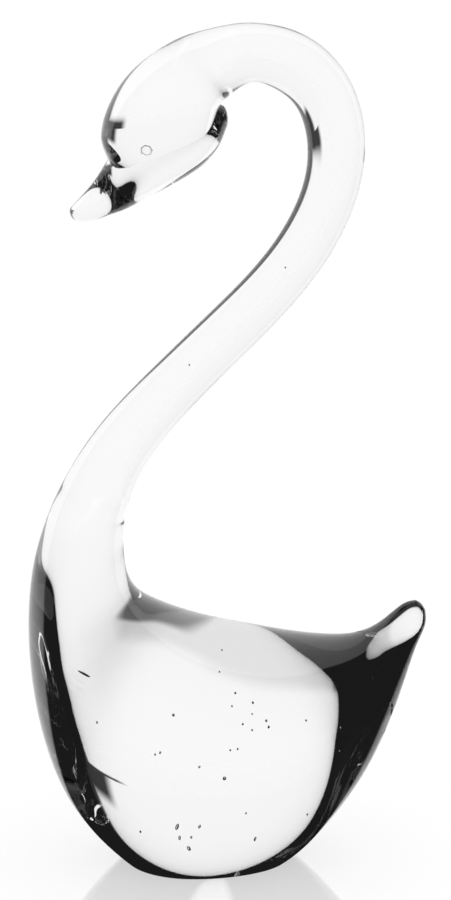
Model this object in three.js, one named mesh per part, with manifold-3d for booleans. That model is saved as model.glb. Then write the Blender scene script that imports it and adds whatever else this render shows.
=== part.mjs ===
// A swan of clear solid glass, drawn out of one hot gather: the body, the tail and the neck are
// one form, and the lower half of the head with the beak is a second bit melted onto its end.
// Millimetres, +Z up. The swan faces -X, its middle plane is Y = 0, and it stands on Z = 0.

import * as THREE from 'three';
import { mergeVertices } from 'three/addons/utils/BufferGeometryUtils.js';
import Module from 'manifold-3d';

// Driving sizes.
const HEIGHT = 240; // from the table to the top of the neck's arch
const BODY_WIDTH = 73; // widest, side to side
const NECK_WIDTH = 16; // side to side at the arch
const HEAD_WIDTH = 32; // side to side at the cheeks
const EYE_RING = 3; // middle line of the pressed ring, across
const EYE_GROOVE = 0.8; // width of the pressed ring's groove

// How finely the forms are cut into flats.
const FORM_RINGS = 112;
const FORM_SIDES = 36;
const BEAK_RINGS = 30;
const BEAK_SIDES = 24;
const EYE_FACETS = 16;
const GROOVE_FACETS = 6;

const wasm = await Module();
wasm.setup();

// The pose is drawn in hundredths of the height. Each station is one cross-section of the glass:
// the place of its edge on the saddle side, the place of its edge on the breast side, its width,
// how far across from the saddle side it is widest, and how much keener than an ellipse it is on
// the breast side, or fuller where that is below nought. The saddle side runs from the tail over
// the back, up behind the neck and over the arch to the forehead, and the breast side runs from
// the tail under the body, up the breast and round the inside of the arch to the throat.
const TAIL_AND_BODY = [
  { saddle: [22.1, 30.75], breast: [23.55, 29.35], width: 0.049, widestAt: 0.5, keen: 0 },
  { saddle: [20.9, 30.4], breast: [23.5, 27.7], width: 0.086, widestAt: 0.5, keen: 0 },
  { saddle: [19.3, 29.15], breast: [22.65, 25.7], width: 0.134, widestAt: 0.48, keen: 0.03 },
  { saddle: [17.3, 27.65], breast: [21.65, 23.0], width: 0.212, widestAt: 0.46, keen: 0.06 },
  { saddle: [14.6, 26.75], breast: [20.35, 19.2], width: 0.329, widestAt: 0.44, keen: 0.08 },
  { saddle: [11.2, 26.75], breast: [18.4, 14.4], width: 0.473, widestAt: 0.42, keen: 0.08 },
  { saddle: [7.5, 27.2], breast: [15.6, 9.2], width: 0.637, widestAt: 0.41, keen: 0.08 },
  { saddle: [3.7, 27.9], breast: [11.5, 4.0], width: 0.822, widestAt: 0.41, keen: 0.08 },
  { saddle: [0.0, 28.7], breast: [6.3, -0.6], width: 0.959, widestAt: 0.41, keen: 0.08 },
  { saddle: [-3.3, 29.65], breast: [-0.4, -3.1], width: 1, widestAt: 0.41, keen: 0.08 },
  { saddle: [-6.3, 30.8], breast: [-7.2, -3.0], width: 0.979, widestAt: 0.4, keen: 0.08 },
  { saddle: [-8.8, 32.05], breast: [-13.4, 1.0], width: 0.877, widestAt: 0.42, keen: 0 },
  { saddle: [-10.5, 33.25], breast: [-18.8, 7.5], width: 0.753, widestAt: 0.44, keen: -0.05 },
  { saddle: [-11.6, 34.75], breast: [-21.9, 15.3], width: 0.645, widestAt: 0.5, keen: -0.11 },
  { saddle: [-12.2, 36.5], breast: [-23.3, 22.9], width: 0.56, widestAt: 0.57, keen: -0.15 },
  { saddle: [-12.4, 38.4], breast: [-23.6, 30.2], width: 0.485, widestAt: 0.6, keen: -0.13 },
  { saddle: [-12.45, 40.2], breast: [-22.9, 37.0], width: 0.41, widestAt: 0.56, keen: -0.07 },
  { saddle: [-12.3, 42.0], breast: [-21.3, 42.5], width: 0.349, widestAt: 0.5, keen: 0 },
];

// Along the neck each station is round or, near the body, wider than it is thick: its centre, and
// its thickness and width as shares of NECK_WIDTH.
const NECK = [
  { centre: [-15.9, 44.7], thickness: 1.21, width: 1.42 },
  { centre: [-13.6, 49.3], thickness: 1.09, width: 1.2 },
  { centre: [-10.15, 53.9], thickness: 1.01, width: 1.07 },
  { centre: [-5.85, 58.45], thickness: 0.955, width: 0.955 },
  { centre: [-1.1, 63.05], thickness: 0.94, width: 0.94 },
  { centre: [3.6, 67.65], thickness: 0.93, width: 0.93 },
  { centre: [7.55, 72.25], thickness: 0.93, width: 0.93 },
  { centre: [10.4, 76.9], thickness: 0.945, width: 0.945 },
  { centre: [12.05, 81.5], thickness: 0.965, width: 0.965 },
  { centre: [12.45, 86.1], thickness: 1.0, width: 1.0 },
  { centre: [11.55, 90.35], thickness: 1.02, width: 1.02 },
  { centre: [9.45, 93.65], thickness: 1.04, width: 1.04 },
  { centre: [6.25, 95.85], thickness: 1.04, width: 1.04 },
  { centre: [2.4, 96.65], thickness: 1.02, width: 1.02 },
];

// The head is the deep, rounded end of the same form, as wide at the cheeks as it is deep.
const HEAD = [
  { saddle: [-1.9, 99.5], breast: [0.1, 91.9], width: 0.625 },
  { saddle: [-5.2, 98.6], breast: [-1.5, 90.0], width: 0.78 },
  { saddle: [-8.2, 97.0], breast: [-2.4, 86.8], width: 0.94 },
  { saddle: [-10.9, 94.9], breast: [-4.8, 84.4], width: 1 },
  { saddle: [-12.9, 92.4], breast: [-7.7, 83.1], width: 0.905 },
  { saddle: [-14.2, 89.7], breast: [-10.4, 82.4], width: 0.72 },
  { saddle: [-14.7, 87.4], breast: [-12.5, 82.9], width: 0.47 },
];

// The second bit: jowl, throat and beak, from the lobe behind the head to the beak's tip. Its
// upper half is melted into the head, and its cheeks run on from the head's.
const JOWL_AND_BEAK = [
  { saddle: [-0.75, 90.65], breast: [-0.4, 87.9], width: 0.22 },
  { saddle: [-2.1, 91.0], breast: [-1.25, 86.0], width: 0.45 },
  { saddle: [-4.0, 90.4], breast: [-2.75, 84.3], width: 0.7 },
  { saddle: [-6.5, 89.7], breast: [-4.8, 82.85], width: 0.875 },
  { saddle: [-9.4, 88.5], breast: [-7.9, 81.15], width: 0.875 },
  { saddle: [-11.9, 86.9], breast: [-10.35, 79.85], width: 0.75 },
  { saddle: [-13.8, 84.8], breast: [-12.1, 78.9], width: 0.49 },
  { saddle: [-15.1, 82.8], breast: [-13.7, 78.35], width: 0.325 },
  { saddle: [-16.35, 81.2], breast: [-15.25, 77.8], width: 0.275 },
  { saddle: [-17.5, 79.95], breast: [-16.7, 77.5], width: 0.25 },
  { saddle: [-18.15, 79.25], breast: [-17.6, 77.75], width: 0.205 },
];

// Where the forms end, and the eye as seen from the side.
const PLACES = {
  tailTip: [22.95, 30.4],
  foreheadEnd: [-13.9, 84.7],
  jowlEnd: [-0.15, 89.5],
  beakTip: [-18.3, 78.4],
  eye: [-10.2, 86.6],
};

// A place drawn in hundredths of the height, as a point of the middle plane in millimetres.
function place([x, z]) {
  return new THREE.Vector3(x, 0, z).multiplyScalar(HEIGHT / 100);
}

// One cross-section: its two edges in the middle plane, its half width, how far from the saddle
// edge towards the breast edge it is widest, and its keenness on the breast side.
function station(saddle, breast, halfWidth, widestAt = 0.5, keen = 0) {
  return { saddle, breast, halfWidth, widestAt, keen };
}

function drawnStations(list, fullWidth) {
  return list.map((s) => {
    const halfWidth = (s.width * fullWidth) / 2;
    return station(place(s.saddle), place(s.breast), halfWidth, s.widestAt, s.keen);
  });
}

function middleOf(s) {
  return s.saddle.clone().lerp(s.breast, 0.5);
}

// A neck station lies square to the neck's centre line, which runs on from the body's last
// station to the head's first.
function neckStations(before, after) {
  const centres = [middleOf(before), ...NECK.map((s) => place(s.centre)), middleOf(after)];
  const centreLine = new THREE.CatmullRomCurve3(centres, false, 'catmullrom');
  return NECK.map((s, i) => {
    const along = centreLine.getTangent((i + 1) / (centres.length - 1));
    const across = new THREE.Vector3(along.z, 0, -along.x);
    const radius = (s.thickness * NECK_WIDTH) / 2;
    const saddle = centres[i + 1].clone().addScaledVector(across, radius);
    const breast = centres[i + 1].clone().addScaledVector(across, -radius);
    return station(saddle, breast, (s.width * NECK_WIDTH) / 2);
  });
}

function smoothLine(points) {
  return new THREE.CatmullRomCurve3(points, false, 'catmullrom');
}

// A smooth closed form through its stations: rings of two half ellipses that meet where the
// section is widest, closed by a point at each end.
function loft(stations, startPoint, endPoint, rings, sides) {
  const saddleLine = smoothLine(stations.map((s) => s.saddle));
  const breastLine = smoothLine(stations.map((s) => s.breast));
  const shapes = stations.map((s) => new THREE.Vector3(s.halfWidth, s.widestAt, s.keen));
  const shapeLine = smoothLine(shapes);
  const positions = [...startPoint.toArray()];
  for (let r = 0; r < rings; r += 1) {
    const t = r / (rings - 1);
    const saddle = saddleLine.getPoint(t);
    const breast = breastLine.getPoint(t);
    const { x: halfWidth, y: widestAt, z: keen } = shapeLine.getPoint(t);
    const widest = saddle.clone().lerp(breast, widestAt);
    for (let k = 0; k < sides; k += 1) {
      const angle = (2 * Math.PI * k) / sides;
      const onSaddle = Math.cos(angle) > 0;
      const p = widest.clone().lerp(onSaddle ? saddle : breast, Math.abs(Math.cos(angle)));
      const slim = onSaddle ? 1 : 1 - keen * Math.sin(2 * angle) ** 2;
      positions.push(p.x, halfWidth * slim * Math.sin(angle), p.z);
    }
  }
  positions.push(...endPoint.toArray());
  const geometry = new THREE.BufferGeometry();
  geometry.setAttribute('position', new THREE.Float32BufferAttribute(positions, 3));
  geometry.setIndex(loftFaces(rings, sides));
  return geometry;
}

// Triangles between neighbouring rings, and a fan at each end.
function loftFaces(rings, sides) {
  const vertex = (ring, k) => 1 + ring * sides + (k % sides);
  const last = 1 + rings * sides;
  const faces = [];
  for (let k = 0; k < sides; k += 1) {
    faces.push(0, vertex(0, k + 1), vertex(0, k));
    faces.push(last, vertex(rings - 1, k), vertex(rings - 1, k + 1));
  }
  for (let r = 0; r < rings - 1; r += 1) {
    for (let k = 0; k < sides; k += 1) {
      faces.push(vertex(r, k), vertex(r, k + 1), vertex(r + 1, k + 1));
      faces.push(vertex(r, k), vertex(r + 1, k + 1), vertex(r + 1, k));
    }
  }
  return faces;
}

function solid(geometry) {
  const bare = geometry.clone();
  bare.deleteAttribute('normal');
  bare.deleteAttribute('uv');
  const merged = mergeVertices(bare);
  return new wasm.Manifold(new wasm.Mesh({
    numProp: 3,
    vertProperties: new Float32Array(merged.attributes.position.array),
    triVerts: new Uint32Array(merged.index.array),
  }));
}

function bodyNeckAndHead() {
  const body = drawnStations(TAIL_AND_BODY, BODY_WIDTH);
  const head = drawnStations(HEAD, HEAD_WIDTH);
  const stations = [...body, ...neckStations(body.at(-1), head[0]), ...head];
  return loft(stations, place(PLACES.tailTip), place(PLACES.foreheadEnd), FORM_RINGS, FORM_SIDES);
}

function jowlAndBeak() {
  const stations = drawnStations(JOWL_AND_BEAK, HEAD_WIDTH);
  return loft(stations, place(PLACES.jowlEnd), place(PLACES.beakTip), BEAK_RINGS, BEAK_SIDES);
}

// Everything below the table plane is cut away, which leaves the flat foot.
function belowTheTable() {
  const block = new THREE.BoxGeometry(2 * HEIGHT, 2 * HEIGHT, HEIGHT);
  block.translate(0, 0, -HEIGHT / 2);
  return block;
}

// The point where a level line across the swan leaves the head, on its +Y side.
function cheekPoint(head, x, z) {
  const { vertProperties, triVerts } = head.getMesh();
  const corner = (i) => new THREE.Vector3().fromArray(vertProperties, 3 * triVerts[i]);
  const line = new THREE.Ray(new THREE.Vector3(x, 0, z), new THREE.Vector3(0, 1, 0));
  const hit = new THREE.Vector3();
  const cheek = new THREE.Vector3(x, 0, z);
  for (let i = 0; i < triVerts.length; i += 3) {
    if (line.intersectTriangle(corner(i), corner(i + 1), corner(i + 2), false, hit)) {
      cheek.y = Math.max(cheek.y, hit.y);
    }
  }
  return cheek;
}

// The ring pressed into each cheek for an eye, laid flat on the glass there.
function eyeGrooves(head) {
  const eye = place(PLACES.eye);
  const reach = EYE_RING / 2;
  const front = cheekPoint(head, eye.x - reach, eye.z);
  const back = cheekPoint(head, eye.x + reach, eye.z);
  const low = cheekPoint(head, eye.x, eye.z - reach);
  const high = cheekPoint(head, eye.x, eye.z + reach);
  const centre = front.clone().lerp(back, 0.5).lerp(low.clone().lerp(high, 0.5), 0.5);
  const outward = high.sub(low).cross(back.sub(front)).normalize();
  return [1, -1].map((side) => {
    const ring = new THREE.TorusGeometry(reach, EYE_GROOVE / 2, GROOVE_FACETS, EYE_FACETS);
    const facing = new THREE.Vector3(outward.x, side * outward.y, outward.z);
    const turn = new THREE.Quaternion().setFromUnitVectors(new THREE.Vector3(0, 0, 1), facing);
    ring.applyQuaternion(turn);
    ring.translate(centre.x, side * centre.y, centre.z);
    return solid(ring);
  });
}

function swanSolid() {
  const head = solid(bodyNeckAndHead()).add(solid(jowlAndBeak()));
  const standing = head.subtract(solid(belowTheTable()));
  return eyeGrooves(head).reduce((glass, groove) => glass.subtract(groove), standing);
}

function toGeometry(manifold) {
  const mesh = manifold.getMesh();
  const geometry = new THREE.BufferGeometry();
  geometry.setAttribute('position', new THREE.BufferAttribute(mesh.vertProperties, 3));
  geometry.setIndex(new THREE.BufferAttribute(mesh.triVerts, 1));
  geometry.computeVertexNormals();
  return geometry;
}

const clearGlass = new THREE.MeshStandardMaterial({ color: 0xf4f6f6, roughness: 0.03, metalness: 0 });

const swan = new THREE.Mesh(toGeometry(swanSolid()), clearGlass);
swan.name = 'swan';

const figurine = new THREE.Group();
figurine.add(swan);

export default figurine;
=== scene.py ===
# A swan of clear solid glass with its seeds and its pressed eyes, on a pale glossy table.
import math
import random

import bmesh
import bpy
from mathutils import Matrix, Vector


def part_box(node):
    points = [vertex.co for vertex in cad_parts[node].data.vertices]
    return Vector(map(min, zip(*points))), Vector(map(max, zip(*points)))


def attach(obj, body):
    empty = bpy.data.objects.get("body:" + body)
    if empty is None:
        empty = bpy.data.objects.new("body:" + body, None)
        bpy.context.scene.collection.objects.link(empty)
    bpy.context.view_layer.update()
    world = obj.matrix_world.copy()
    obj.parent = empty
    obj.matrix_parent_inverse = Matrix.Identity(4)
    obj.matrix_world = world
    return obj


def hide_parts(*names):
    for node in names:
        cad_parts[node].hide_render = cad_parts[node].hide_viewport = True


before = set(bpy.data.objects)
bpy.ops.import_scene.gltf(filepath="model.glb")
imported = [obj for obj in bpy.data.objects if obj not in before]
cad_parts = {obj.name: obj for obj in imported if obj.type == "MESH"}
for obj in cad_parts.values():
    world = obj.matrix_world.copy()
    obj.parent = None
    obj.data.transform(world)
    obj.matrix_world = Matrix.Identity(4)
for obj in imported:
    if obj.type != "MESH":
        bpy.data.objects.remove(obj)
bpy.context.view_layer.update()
MM = 0.001

# The solid's own sizes, a hair less high so that the smooth skin stays in the solid's box.
# Places are drawn in hundredths of the height, as in the part.
SOLID_LOW, SOLID_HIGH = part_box("swan")
HEIGHT = 0.998 * (SOLID_HIGH.z - SOLID_LOW.z)
BODY_WIDTH = SOLID_HIGH.y - SOLID_LOW.y
NECK_WIDTH = 16 * MM
HEAD_WIDTH = 32 * MM
EYE_RING = 3.0 * MM
EYE_GROOVE = 0.8 * MM

# The places of the glass: the edge of each section on the saddle side, its edge on the breast
# side, its width as a share of the full width, how far across it is widest, and how much keener
# than an ellipse it is on the breast side, or fuller where that is below nought.
TAIL_AND_BODY = [
    ((22.1, 30.75), (23.55, 29.35), 0.049, 0.5, 0),
    ((20.9, 30.4), (23.5, 27.7), 0.086, 0.5, 0),
    ((19.3, 29.15), (22.65, 25.7), 0.134, 0.48, 0.03),
    ((17.3, 27.65), (21.65, 23.0), 0.212, 0.46, 0.06),
    ((14.6, 26.75), (20.35, 19.2), 0.329, 0.44, 0.08),
    ((11.2, 26.75), (18.4, 14.4), 0.473, 0.42, 0.08),
    ((7.5, 27.2), (15.6, 9.2), 0.637, 0.41, 0.08),
    ((3.7, 27.9), (11.5, 4.0), 0.822, 0.41, 0.08),
    ((0.0, 28.7), (6.3, -0.6), 0.959, 0.41, 0.08),
    ((-3.3, 29.65), (-0.4, -3.1), 1, 0.41, 0.08),
    ((-6.3, 30.8), (-7.2, -3.0), 0.979, 0.4, 0.08),
    ((-8.8, 32.05), (-13.4, 1.0), 0.877, 0.42, 0),
    ((-10.5, 33.25), (-18.8, 7.5), 0.753, 0.44, -0.05),
    ((-11.6, 34.75), (-21.9, 15.3), 0.645, 0.5, -0.11),
    ((-12.2, 36.5), (-23.3, 22.9), 0.56, 0.57, -0.15),
    ((-12.4, 38.4), (-23.6, 30.2), 0.485, 0.6, -0.13),
    ((-12.45, 40.2), (-22.9, 37.0), 0.41, 0.56, -0.07),
    ((-12.3, 42.0), (-21.3, 42.5), 0.349, 0.5, 0),
]
NECK = [
    ((-15.9, 44.7), 1.21, 1.42),
    ((-13.6, 49.3), 1.09, 1.2),
    ((-10.15, 53.9), 1.01, 1.07),
    ((-5.85, 58.45), 0.955, 0.955),
    ((-1.1, 63.05), 0.94, 0.94),
    ((3.6, 67.65), 0.93, 0.93),
    ((7.55, 72.25), 0.93, 0.93),
    ((10.4, 76.9), 0.945, 0.945),
    ((12.05, 81.5), 0.965, 0.965),
    ((12.45, 86.1), 1.0, 1.0),
    ((11.55, 90.35), 1.02, 1.02),
    ((9.45, 93.65), 1.04, 1.04),
    ((6.25, 95.85), 1.04, 1.04),
    ((2.4, 96.65), 1.02, 1.02),
]
HEAD = [
    ((-1.9, 99.5), (0.1, 91.9), 0.625, 0.5),
    ((-5.2, 98.6), (-1.5, 90.0), 0.78, 0.5),
    ((-8.2, 97.0), (-2.4, 86.8), 0.94, 0.5),
    ((-10.9, 94.9), (-4.8, 84.4), 1, 0.5),
    ((-12.9, 92.4), (-7.7, 83.1), 0.905, 0.5),
    ((-14.2, 89.7), (-10.4, 82.4), 0.72, 0.5),
    ((-14.7, 87.4), (-12.5, 82.9), 0.47, 0.5),
]
JOWL_AND_BEAK = [
    ((-0.75, 90.65), (-0.4, 87.9), 0.22, 0.5),
    ((-2.1, 91.0), (-1.25, 86.0), 0.45, 0.5),
    ((-4.0, 90.4), (-2.75, 84.3), 0.7, 0.5),
    ((-6.5, 89.7), (-4.8, 82.85), 0.875, 0.5),
    ((-9.4, 88.5), (-7.9, 81.15), 0.875, 0.5),
    ((-11.9, 86.9), (-10.35, 79.85), 0.75, 0.5),
    ((-13.8, 84.8), (-12.1, 78.9), 0.49, 0.5),
    ((-15.1, 82.8), (-13.7, 78.35), 0.325, 0.5),
    ((-16.35, 81.2), (-15.25, 77.8), 0.275, 0.5),
    ((-17.5, 79.95), (-16.7, 77.5), 0.25, 0.5),
    ((-18.15, 79.25), (-17.6, 77.75), 0.205, 0.5),
]
TAIL_TIP = (22.95, 30.4)
FOREHEAD_END = (-13.9, 84.7)
JOWL_END = (-0.15, 89.5)
BEAK_TIP = (-18.3, 78.4)
EYE = (-10.2, 86.6)

# The seeds, small gas bubbles: where each shows to the camera against the middle plane, its
# length and its width in millimetres, and how many millimetres deep it lies.
SEEDS = [
    ((-0.8, 25.6), 0.7, 0.5, 6),
    ((-1.1, 22.9), 0.5, 0.5, 9),
    ((0.8, 20.2), 0.7, 0.6, 4),
    ((0.4, 18.6), 0.6, 0.5, 5),
    ((2.9, 18.9), 0.8, 0.6, 5),
    ((2.8, 17.5), 0.6, 0.4, 7),
    ((1.7, 16.3), 0.7, 0.5, 4),
    ((4.5, 16.6), 0.8, 0.6, 6),
    ((4.8, 15.8), 0.9, 0.6, 3),
    ((2.8, 15.5), 0.6, 0.5, 8),
    ((9.3, 16.4), 0.6, 0.6, 4),
    ((13.4, 15.3), 1.0, 0.7, 3),
    ((13.3, 12.4), 0.7, 0.6, 3),
    ((-6.6, 17.8), 0.9, 0.7, 3),
    ((-15.7, 17.3), 0.8, 0.5, 3),
    ((-8.2, 13.2), 0.8, 0.6, 4),
    ((-8.8, 13.0), 0.7, 0.5, 4),
    ((-3.5, 11.2), 0.7, 0.6, 7),
    ((-0.5, 9.6), 1.1, 1.0, 3),
    ((0.2, 13.1), 0.6, 0.5, 8),
    ((1.1, 13.2), 0.6, 0.5, 6),
    ((2.1, 5.1), 0.7, 0.5, 4),
    ((3.2, 1.8), 1.6, 0.7, 2),
    ((-6.2, 3.8), 2.2, 0.9, 3),
    ((-3.5, 3.7), 1.3, 0.7, 3),
    ((-4.8, 1.0), 1.8, 1.0, 2),
    ((-5.9, 2.4), 1.6, 0.7, 3),
    ((-4.5, 2.4), 1.0, 0.6, 2),
    ((-10.6, 3.4), 0.9, 0.6, 2),
    ((9.5, 4.6), 0.8, 0.6, 3),
    ((-22.9, 31.3), 0.7, 0.5, 2),
    ((-20.1, 14.8), 0.8, 0.6, 2),
    ((-4.6, 60.3), 0.5, 0.4, 4),
    ((6.6, 71.5), 0.5, 0.4, 4),
    ((4.4, 62.0), 0.4, 0.4, 5),
]

# What the tools left: where it shows to the camera, its length, width and depth in
# millimetres, and how many degrees it is turned in the picture.
TOOL_MARKS = [
    ((-18.2, 21.6), 7.0, 0.9, 0.04, 20),
    ((-17.8, 22.4), 5.5, 0.8, 0.03, 24),
    ((-17.2, 23.4), 4.0, 0.7, 0.03, 28),
    ((-16.4, 7.4), 3.0, 1.2, 0.2, -65),
    ((-14.6, 5.0), 2.4, 1.0, 0.15, -50),
    ((15.6, 27.2), 3.0, 0.9, 0.2, 50),
    ((16.4, 27.6), 2.2, 0.8, 0.18, 50),
    ((19.6, 17.3), 7.0, 2.0, 0.5, 70),
    ((18.8, 14.6), 4.0, 1.6, 0.4, 65),
]

FORM_SIDES = 24
BEAK_SIDES = 16
SMOOTH_LEVELS = 3
CAP_RINGS = 2
FIRST_LEVEL = 2
CAMERA_AZIMUTH = math.radians(-8)
TENT_BACK = 8
TENT_SIDE = 80
OUTER_HALF = 70
INNER_HALF = 8
SIDE_HALF = 27


def place(at):
    """A place drawn in hundredths of the height, as a point of the middle plane."""
    return Vector((at[0], 0, at[1])) * HEIGHT / 100


class Section:
    """One cross-section of the glass: two half ellipses that meet where it is widest.

    The half on the breast side may be keener than an ellipse, or fuller.
    """

    def __init__(self, saddle, breast, half_width, widest_at, keen=0):
        self.saddle, self.breast = saddle, breast
        self.half_width, self.widest_at, self.keen = half_width, widest_at, keen

    @property
    def middle(self):
        return self.saddle.lerp(self.breast, self.widest_at)

    @property
    def to_saddle(self):
        return (self.saddle - self.breast).length * self.widest_at

    @property
    def to_breast(self):
        return (self.saddle - self.breast).length * (1 - self.widest_at)

    @property
    def lean(self):
        """Turn about Y that takes +X to the way from the breast edge to the saddle edge."""
        across = self.saddle - self.breast
        return math.atan2(-across.z, across.x)


def drawn(rows, full_width):
    return [Section(place(s), place(b), w * full_width / 2, *rest) for s, b, w, *rest in rows]


def round_sections(before, after):
    """The neck's sections, square to a centre line that runs on from the body to the head."""
    centres = [(before.saddle + before.breast) / 2]
    centres += [place(at) for at, _, _ in NECK]
    centres += [(after.saddle + after.breast) / 2]
    sections = []
    for i, (_, thickness, width) in enumerate(NECK, start=1):
        along = (centres[i + 1] - centres[i - 1]).normalized()
        across = Vector((along.z, 0, -along.x)) * thickness * NECK_WIDTH / 2
        sections.append(Section(centres[i] + across, centres[i] - across, width * NECK_WIDTH / 2, 0.5))
    return sections


def led_out(values, rounds=6):
    """Values for a cage whose smoothed line passes through the given ones."""
    cage = list(values)
    last = len(values) - 1
    for _ in range(rounds):
        smooth = [(cage[max(i - 1, 0)] + 4 * cage[i] + cage[min(i + 1, last)]) / 6
                  for i in range(last + 1)]
        cage = [c + (v - s) if 0 < i < last else c
                for i, (c, v, s) in enumerate(zip(cage, values, smooth))]
    return cage


def cage_of(sections, sides):
    """The sections, led out so that the smoothed skin passes through them."""
    grow = 3 / (2 + math.cos(2 * math.pi / sides))
    saddles = led_out([s.saddle for s in sections])
    breasts = led_out([s.breast for s in sections])
    widths = led_out([s.half_width for s in sections])
    widest = led_out([s.widest_at for s in sections])
    keens = [s.keen for s in sections]
    cage = []
    for saddle, breast, width, at, keen in zip(saddles, breasts, widths, widest, keens):
        middle = saddle.lerp(breast, at)
        cage.append(Section(middle + (saddle - middle) * grow, middle + (breast - middle) * grow,
                            width * grow, at, keen))
    return cage


def dome(section, tip):
    """Smaller sections that round the form off from a section to its tip."""
    rings = []
    for step in range(1, CAP_RINGS + 1):
        turn = step / (CAP_RINGS + 0.6) * math.pi / 2
        middle = section.middle.lerp(tip, math.sin(turn))
        shrink = math.cos(turn)
        rings.append(Section(middle + (section.saddle - section.middle) * shrink,
                             middle + (section.breast - section.middle) * shrink,
                             section.half_width * shrink, section.widest_at))
    return rings


def edit(obj):
    """Opens a piece alone in edit mode."""
    bpy.ops.object.select_all(action="DESELECT")
    obj.select_set(True)
    bpy.context.view_layer.objects.active = obj
    bpy.ops.object.mode_set(mode="EDIT")
    bpy.ops.mesh.select_mode(type="VERT")
    bpy.ops.mesh.select_all(action="DESELECT")


def pick(obj, wanted):
    """Selects the points whose place the test wants, with the edges and faces between them."""
    work = bmesh.from_edit_mesh(obj.data)
    for v in work.verts:
        v.select = wanted(v.co)
    work.select_flush(True)
    for v in work.verts:
        if not wanted(v.co):
            v.select = False
    work.select_flush(False)
    bmesh.update_edit_mesh(obj.data)


def gather(name, levels, sides):
    """An open straight tube of unit rings, one above another, well clear of the swan's place."""
    bpy.ops.object.select_all(action="DESELECT")
    bpy.ops.mesh.primitive_circle_add(vertices=sides, radius=1, location=(0, 0, 0))
    obj = bpy.context.object
    obj.name = name
    bpy.ops.object.mode_set(mode="EDIT")
    bpy.ops.mesh.select_all(action="SELECT")
    bpy.ops.transform.translate(value=(0, 0, FIRST_LEVEL))
    for _ in range(levels - 1):
        bpy.ops.mesh.extrude_region_move(TRANSFORM_OT_translate={"value": (0, 0, 1)})
    bpy.ops.mesh.select_all(action="DESELECT")
    return obj


def set_section(obj, level, section, sides):
    """Takes one ring of the straight tube to its size, its lean and its place."""
    z = FIRST_LEVEL + level
    centre = (0, 0, z)
    pick(obj, lambda p: abs(p.z - z) < 0.5 and p.x > 0.001)
    bpy.ops.transform.resize(value=(section.to_saddle, 1, 1), center_override=centre)
    pick(obj, lambda p: abs(p.z - z) < 0.5 and p.x < -1e-9)
    bpy.ops.transform.resize(value=(section.to_breast, 1, 1), center_override=centre)
    for row in range(1, sides // 4):
        turn = 2 * math.pi * row / sides
        slim = 1 - section.keen * math.sin(2 * turn) ** 2
        x = -math.cos(turn) * section.to_breast
        pick(obj, lambda p: abs(p.z - z) < 0.5 and abs(p.x - x) < section.to_breast * 0.005)
        bpy.ops.transform.resize(value=(1, slim, 1), center_override=centre)
    pick(obj, lambda p: abs(p.z - z) < 0.5)
    bpy.ops.transform.resize(value=(1, section.half_width, 1), center_override=centre)
    bpy.ops.transform.rotate(value=-section.lean, orient_axis="Y", center_override=centre)
    bpy.ops.transform.translate(value=section.middle - Vector(centre))


def draw_out(name, sections, sides):
    """A closed skin, drawn out straight and then bent section by section, as hot glass is."""
    obj = gather(name, len(sections), sides)
    for level, section in enumerate(sections):
        set_section(obj, level, section, sides)
    for section in (sections[0], sections[-1]):
        close_end(obj, section, sides)
    bpy.ops.mesh.select_all(action="SELECT")
    bpy.ops.mesh.normals_make_consistent(inside=False)
    bpy.ops.object.mode_set(mode="OBJECT")
    return obj


def close_end(obj, section, sides):
    """Fills an open end with a grid of four-sided faces."""
    across = (section.saddle - section.breast).normalized()
    square = Vector((across.z, 0, -across.x))
    reach = section.saddle - section.breast
    work = bmesh.from_edit_mesh(obj.data)
    for e in work.edges:
        middle = (e.verts[0].co + e.verts[1].co) / 2 - section.middle
        near = abs(middle.dot(square)) < 1e-5 and middle.length < reach.length + section.half_width
        e.select = e.is_boundary and near
    work.select_flush_mode()
    bmesh.update_edit_mesh(obj.data)
    bpy.ops.mesh.select_mode(type="EDGE")
    bpy.ops.mesh.fill_grid(span=sides // 4)
    bpy.ops.mesh.select_all(action="DESELECT")


def apply_modifier(obj, kind, **settings):
    bpy.ops.object.select_all(action="DESELECT")
    obj.select_set(True)
    bpy.context.view_layer.objects.active = obj
    modifier = obj.modifiers.new(kind.title(), kind)
    for key, value in settings.items():
        setattr(modifier, key, value)
    bpy.ops.object.modifier_apply(modifier=modifier.name)


def smoothed(obj):
    apply_modifier(obj, "SUBSURF", levels=SMOOTH_LEVELS, render_levels=SMOOTH_LEVELS)


def main_form():
    body = drawn(TAIL_AND_BODY, BODY_WIDTH)
    head = drawn(HEAD, HEAD_WIDTH)
    sections = cage_of(body + round_sections(body[-1], head[0]) + head, FORM_SIDES)
    sections = (list(reversed(dome(sections[0], place(TAIL_TIP)))) + sections
                + dome(sections[-1], place(FOREHEAD_END)))
    form = draw_out("glass_swan", sections, FORM_SIDES)
    smoothed(form)
    return form


def jowl_form():
    sections = cage_of(drawn(JOWL_AND_BEAK, HEAD_WIDTH), BEAK_SIDES)
    sections = (list(reversed(dome(sections[0], place(JOWL_END)))) + sections
                + dome(sections[-1], place(BEAK_TIP)))
    form = draw_out("jowl_and_beak", sections, BEAK_SIDES)
    smoothed(form)
    return form


def cut_foot(obj):
    """Cuts the glass off flat on the table."""
    bpy.ops.object.select_all(action="DESELECT")
    bpy.context.view_layer.objects.active = obj
    obj.select_set(True)
    bpy.ops.object.mode_set(mode="EDIT")
    bpy.ops.mesh.select_all(action="SELECT")
    bpy.ops.mesh.bisect(plane_co=(0, 0, 0), plane_no=(0, 0, 1), use_fill=True, clear_inner=True,
                        threshold=0.0000001)
    bpy.ops.object.mode_set(mode="OBJECT")


def cut_with(swan, tool):
    """Takes a tool's form out of the glass."""
    apply_modifier(swan, "BOOLEAN", operation="DIFFERENCE", solver="EXACT", object=tool)
    bpy.data.objects.remove(tool)


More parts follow.
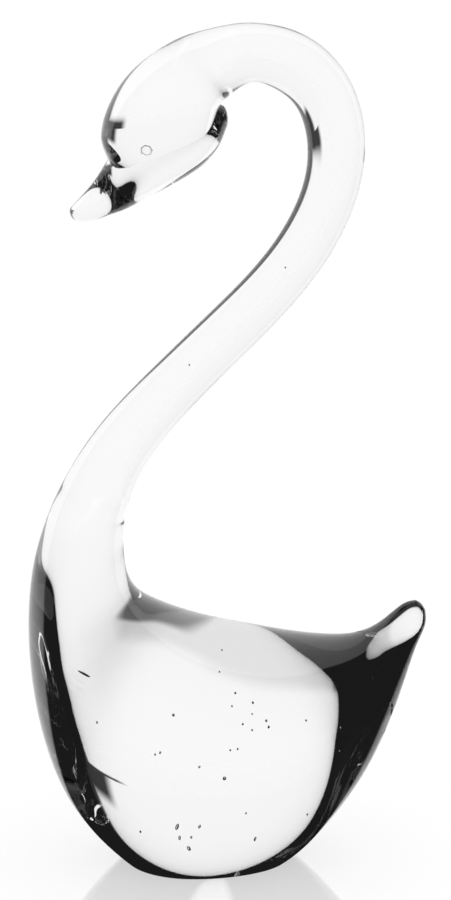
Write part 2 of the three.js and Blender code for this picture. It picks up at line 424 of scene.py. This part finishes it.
def cheek(swan, side):
    """The place of the eye on one cheek, and the way outwards there."""
    eye = place(EYE)
    start = Vector((eye.x, side * HEAD_WIDTH, eye.z))
    found, spot, outward, face = swan.ray_cast(start, Vector((0, -side, 0)))
    return spot, outward


def press_eyes(swan):
    """Presses a small ring, not quite round, into each cheek."""
    for side in (1, -1):
        spot, outward = cheek(swan, side)
        bpy.ops.mesh.primitive_torus_add(major_radius=EYE_RING / 2, minor_radius=EYE_GROOVE / 2,
                                         major_segments=7, minor_segments=6, location=spot,
                                         rotation=outward.to_track_quat("Z", "Y").to_euler())
        ring = bpy.context.object
        apply_modifier(ring, "SUBSURF", levels=2, render_levels=2)
        cut_with(swan, ring)


def seen_by_camera(swan, at):
    """Where the camera's line to a place of the middle plane meets the glass, and its bent way."""
    start = bpy.context.scene.camera.location
    way = (place(at) - start).normalized()
    found, spot, outward, face = swan.ray_cast(start, way)
    steep = -outward.dot(way)
    bend = math.sqrt(1 - (1 - steep * steep) / 1.5 ** 2)
    return spot, outward, (way / 1.5 + outward * (steep / 1.5 - bend)).normalized()


def leave_tool_marks(swan):
    """Dents the near side as the jacks and shears did: long, shallow and soft."""
    right = Vector((math.cos(CAMERA_AZIMUTH), math.sin(CAMERA_AZIMUTH), 0))
    for at, length, width, depth, turned in TOOL_MARKS:
        spot, outward, way = seen_by_camera(swan, at)
        up = outward.cross(right).normalized() * -1
        angle = math.radians(turned)
        along = (right * math.cos(angle) + up * math.sin(angle)).normalized()
        along = (along - outward * along.dot(outward)).normalized()
        frame_of_mark = Matrix((along, outward.cross(along), outward)).transposed().to_4x4()
        bpy.ops.mesh.primitive_uv_sphere_add(segments=24, ring_count=12, radius=0.5)
        dent = bpy.context.object
        dent.matrix_world = (Matrix.Translation(spot) @ frame_of_mark
                             @ Matrix.Diagonal((length * MM, width * MM, 2 * depth * MM, 1)))
        cut_with(swan, dent)


def seeds_in(swan):
    """The gas sealed in the glass: egg-shaped seeds, and the ring trapped under each eye."""
    chance = random.Random(4)
    bpy.ops.object.select_all(action="DESELECT")
    bpy.ops.mesh.primitive_uv_sphere_add(segments=16, ring_count=8, radius=0.5)
    seeds = bpy.context.object
    seeds.name = "seeds"
    bpy.ops.object.mode_set(mode="EDIT")
    bpy.ops.mesh.select_all(action="SELECT")
    bpy.ops.mesh.delete(type="VERT")
    for at, length, width, depth in SEEDS:
        spot, outward, way = seen_by_camera(swan, at)
        lean = math.radians(chance.uniform(-25, 25))
        spot = spot + way * depth * MM
        spot.z = max(spot.z, (length / 2 + 0.4) * MM)
        bpy.ops.mesh.primitive_uv_sphere_add(segments=16, ring_count=8, radius=0.5, location=spot,
                                             rotation=(0, lean, 0),
                                             scale=(width * MM, width * MM, length * MM))
    for side in (1, -1):
        spot, outward = cheek(swan, side)
        bpy.ops.mesh.primitive_torus_add(major_radius=EYE_RING / 2, minor_radius=0.16 * MM,
                                         major_segments=7, minor_segments=8,
                                         location=spot - outward * 0.9 * MM,
                                         rotation=outward.to_track_quat("Z", "Y").to_euler())
    bpy.ops.object.mode_set(mode="OBJECT")
    bpy.ops.object.shade_smooth()
    seeds.data.materials.clear()
    seeds.data.materials.append(clear_material("seed_gas", 1 / 1.5))
    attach(seeds, "root")


def clear_material(name, ior):
    material = bpy.data.materials.new(name)
    material.use_nodes = True
    shader = material.node_tree.nodes["Principled BSDF"]
    shader.inputs["Base Color"].default_value = (1, 1, 1, 1)
    shader.inputs["Roughness"].default_value = 0.0
    shader.inputs["IOR"].default_value = ior
    shader.inputs["Transmission Weight"].default_value = 1.0
    return material


def glass_material():
    """Fire-polished glass, whose skin is faintly wavy from being worked."""
    material = clear_material("clear_glass", 1.5)
    tree = material.node_tree
    where = tree.nodes.new("ShaderNodeTexCoord").outputs["Object"]
    waves = tree.nodes.new("ShaderNodeTexNoise")
    waves.inputs["Scale"].default_value = 55
    waves.inputs["Detail"].default_value = 1
    bump = tree.nodes.new("ShaderNodeBump")
    bump.inputs["Strength"].default_value = 1
    bump.inputs["Distance"].default_value = 0.00012
    tree.links.new(where, waves.inputs["Vector"])
    tree.links.new(waves.outputs[0], bump.inputs["Height"])
    tree.links.new(bump.outputs["Normal"], tree.nodes["Principled BSDF"].inputs["Normal"])
    return material


def glass_swan():
    swan = main_form()
    jowl = jowl_form()
    apply_modifier(swan, "BOOLEAN", operation="UNION", solver="EXACT", object=jowl)
    bpy.data.objects.remove(jowl)
    cut_foot(swan)
    seeds_in(swan)
    leave_tool_marks(swan)
    press_eyes(swan)
    bpy.ops.object.select_all(action="DESELECT")
    swan.select_set(True)
    bpy.context.view_layer.objects.active = swan
    bpy.ops.object.shade_smooth_by_angle(angle=math.radians(30))
    swan.data.materials.clear()
    swan.data.materials.append(glass_material())
    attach(swan, "root")
    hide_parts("swan")
    return swan


def camera():
    data = bpy.data.cameras.new("camera")
    cam = bpy.data.objects.new("camera", data)
    bpy.context.scene.collection.objects.link(cam)
    distance, height = 1.150, 0.419
    pitch, yaw = math.radians(14.587), math.radians(0.0446)
    cam.location = (distance * math.sin(CAMERA_AZIMUTH), -distance * math.cos(CAMERA_AZIMUTH), height)
    cam.rotation_euler = (math.pi / 2 - pitch, 0, CAMERA_AZIMUTH + yaw)
    data.lens = 170.14
    data.sensor_width = 36
    bpy.context.scene.camera = cam


def math_node(tree, operation, *values):
    """A math node fed with numbers or with other nodes' outputs."""
    node = tree.nodes.new("ShaderNodeMath")
    node.operation = operation
    for socket, value in zip(node.inputs, values):
        if isinstance(value, (int, float)):
            socket.default_value = value
        else:
            tree.links.new(value, socket)
    return node.outputs[0]


def smooth_step(tree, value, low, high):
    """One above the high value and nought below the low one, with a soft change between."""
    node = tree.nodes.new("ShaderNodeMapRange")
    node.interpolation_type = "SMOOTHSTEP"
    node.inputs["From Min"].default_value = low
    node.inputs["From Max"].default_value = high
    tree.links.new(value, node.inputs["Value"])
    return node.outputs["Result"]


def around(tree, level, heading, half):
    """One for the level ways within half of a heading, both in degrees, and nought for others."""
    x, y, length, rise = level
    turn = math.radians(heading)
    along = math_node(tree, "ADD", math_node(tree, "MULTIPLY", x, math.sin(turn)),
                      math_node(tree, "MULTIPLY", y, math.cos(turn)))
    near = math_node(tree, "DIVIDE", along, length)
    return smooth_step(tree, near, math.cos(math.radians(half + 3)), math.cos(math.radians(half - 3)))


def level_way(tree, vector):
    """The level part of a way from the middle of the table, how long it is, and the way's rise."""
    split = tree.nodes.new("ShaderNodeSeparateXYZ")
    tree.links.new(vector, split.inputs[0])
    x, y = split.outputs["X"], split.outputs["Y"]
    square = math_node(tree, "ADD", math_node(tree, "MULTIPLY", x, x), math_node(tree, "MULTIPLY", y, y))
    return x, y, math_node(tree, "SQRT", square), split.outputs["Z"]


def room_mask(tree, vector, extra=0):
    """Where the dark room shows in the glass: in what it reflects, and past the tent's side.

    The sky counts one bounce more than a surface does, which is the extra. On the table top,
    where the extra is nought, the mask is painted shade: it paints the table dark where it lies in
    the dark room, and paints the swan's shadow on it close about the foot.
    """
    light = tree.nodes.new("ShaderNodeLightPath")
    depth = light.outputs["Ray Depth"]
    level = level_way(tree, vector)
    first = math_node(tree, "COMPARE", depth, 1.0 + extra, 0.5)
    sharp = math_node(tree, "MULTIPLY", light.outputs["Is Glossy Ray"], light.outputs["Is Singular Ray"])
    mirrored = math_node(tree, "MULTIPLY", first, sharp)
    through = math_node(tree, "COMPARE", depth, 2.0 + extra, 0.5)
    inside = math_node(tree, "GREATER_THAN", depth, 2.5 + extra)
    out_of_tent_and_foot_shade = math_node(tree, "SUBTRACT", 1.0, around(tree, level, TENT_BACK, OUTER_HALF))
    off_the_back_and_foot_shade = math_node(tree, "SUBTRACT", 1.0, around(tree, level, TENT_BACK, INNER_HALF))
    past_side_and_foot_shadow = around(tree, level, TENT_SIDE, SIDE_HALF)
    if extra:
        rise = level[3]
        low = math_node(tree, "SUBTRACT", 1.0, smooth_step(tree, rise, 0.1, 0.2))
        wide = math_node(tree, "MULTIPLY", low, around(tree, level, 73, 33))
        past_side_and_foot_shadow = math_node(tree, "MAXIMUM", past_side_and_foot_shadow, wide)
    else:
        # Painted shade: the table within ten to thirteen centimetres of the middle is painted dark where
        # the glass shows it after a bounce inside.
        near = math_node(tree, "SUBTRACT", 1.0, smooth_step(tree, level[2], 0.1, 0.13))
        off_the_back_and_foot_shade = math_node(tree, "MAXIMUM", off_the_back_and_foot_shade, near)
        # Painted shade: the same ring of table about the foot is painted nearly black in sharp
        # reflections from within the glass.
        painted_foot_shade_reflected = math_node(tree, "SUBTRACT", 1.0, light.outputs["Is Transmission Ray"])
        painted_foot_shade_reflected = math_node(tree, "MULTIPLY", painted_foot_shade_reflected, math_node(tree, "GREATER_THAN", depth, 1.5))
        painted_foot_shade_reflected = math_node(tree, "MULTIPLY", math_node(tree, "MULTIPLY", painted_foot_shade_reflected, near), 0.94)
        out_of_tent_and_foot_shade = math_node(tree, "MAXIMUM", out_of_tent_and_foot_shade, painted_foot_shade_reflected)
        mirrored = math_node(tree, "MAXIMUM", mirrored, math_node(tree, "MULTIPLY", sharp, painted_foot_shade_reflected))
        # Painted shade: the far table, from 0.9 to 1.8 metres out, is painted dark in two side sectors
        # where it is seen straight through the glass.
        far = smooth_step(tree, level[2], 0.9, 1.8)
        both = math_node(tree, "ADD", around(tree, level, 70, 38), around(tree, level, -76, 18))
        past_side_and_foot_shadow = math_node(tree, "MAXIMUM", past_side_and_foot_shadow, math_node(tree, "MULTIPLY", far, both))
        # Painted shadow: the table within 6.4 to 7.5 centimetres of the middle is painted a little
        # darker where it is seen straight through the glass, as the swan's shadow about the foot.
        under = math_node(tree, "SUBTRACT", 1.0, smooth_step(tree, level[2], 0.064, 0.075))
        past_side_and_foot_shadow = math_node(tree, "ADD", past_side_and_foot_shadow, math_node(tree, "MULTIPLY", under, 0.22))
        # Painted shadow: a darker spot of that ring, about heading -32, behind the swan.
        spot = math_node(tree, "MULTIPLY", under, around(tree, level, -32, 15))
        past_side_and_foot_shadow = math_node(tree, "ADD", past_side_and_foot_shadow, math_node(tree, "MULTIPLY", spot, 0.66))
    side = math_node(tree, "MULTIPLY", through, math_node(tree, "MULTIPLY", past_side_and_foot_shadow, 0.96))
    out_of_glass = math_node(tree, "ADD", side, math_node(tree, "MULTIPLY", inside, off_the_back_and_foot_shade))
    out_of_glass = math_node(tree, "MULTIPLY", out_of_glass, light.outputs["Is Transmission Ray"])
    return math_node(tree, "ADD", out_of_glass, math_node(tree, "MULTIPLY", mirrored, out_of_tent_and_foot_shade))


def tone(tree, factor, light, dark):
    """A grey that goes from the light tone to the dark one."""
    mix = tree.nodes.new("ShaderNodeMix")
    mix.data_type = "RGBA"
    tree.links.new(factor, mix.inputs["Factor"])
    mix.inputs["A"].default_value = (light, light, light, 1)
    mix.inputs["B"].default_value = (dark, dark, dark, 1)
    return mix.outputs["Result"]


def studio_light():
    """White light from a tent all round, which stands in a dark room."""
    world = bpy.data.worlds.new("studio")
    bpy.context.scene.world = world
    world.use_nodes = True
    tree = world.node_tree
    way = tree.nodes.new("ShaderNodeTexCoord").outputs["Generated"]
    mask = room_mask(tree, way, extra=1)
    colour = tone(tree, mask, 1.0, 0.01)
    tree.links.new(colour, tree.nodes["Background"].inputs["Color"])


def table_top():
    bpy.ops.object.select_all(action="DESELECT")
    bpy.ops.mesh.primitive_plane_add(size=6)
    table = bpy.context.object
    table.name = "table"
    material = bpy.data.materials.new("table_top")
    material.use_nodes = True
    tree = material.node_tree
    shader = tree.nodes["Principled BSDF"]
    place_on_table = tree.nodes.new("ShaderNodeTexCoord").outputs["Object"]
    # Painted shade on the table top: the mask paints it dark where it lies in the dark room and close
    # about the swan's foot, in what the glass shows.
    mask = room_mask(tree, place_on_table)
    shader.inputs["Base Color"].default_value = (0.32, 0.32, 0.32, 1)
    shader.inputs["Emission Color"].default_value = (1, 1, 1, 1)
    gloss = tree.nodes.new("ShaderNodeFresnel")
    gloss.inputs["IOR"].default_value = 2.2
    glow = math_node(tree, "MULTIPLY", math_node(tree, "SUBTRACT", 1.0, gloss.outputs[0]), 0.72)
    tree.links.new(glow, shader.inputs["Emission Strength"])
    shader.inputs["Roughness"].default_value = 0.03
    shader.inputs["IOR"].default_value = 2.2
    # The painted shade itself: a near-black glow that takes the table's place where the mask is one.
    dark = tree.nodes.new("ShaderNodeEmission")
    dark.inputs["Color"].default_value = (0.01, 0.01, 0.01, 1)
    either = tree.nodes.new("ShaderNodeMixShader")
    tree.links.new(mask, either.inputs["Fac"])
    tree.links.new(shader.outputs["BSDF"], either.inputs[1])
    tree.links.new(dark.outputs["Emission"], either.inputs[2])
    tree.links.new(either.outputs["Shader"], tree.nodes["Material Output"].inputs["Surface"])
    table.data.materials.append(material)


def studio():
    studio_light()
    table_top()
    scene = bpy.context.scene
    scene.view_settings.view_transform = "Standard"
    scene.cycles.max_bounces = 32
    scene.cycles.transmission_bounces = 28
    scene.cycles.glossy_bounces = 16


camera()
studio()
glass_swan()
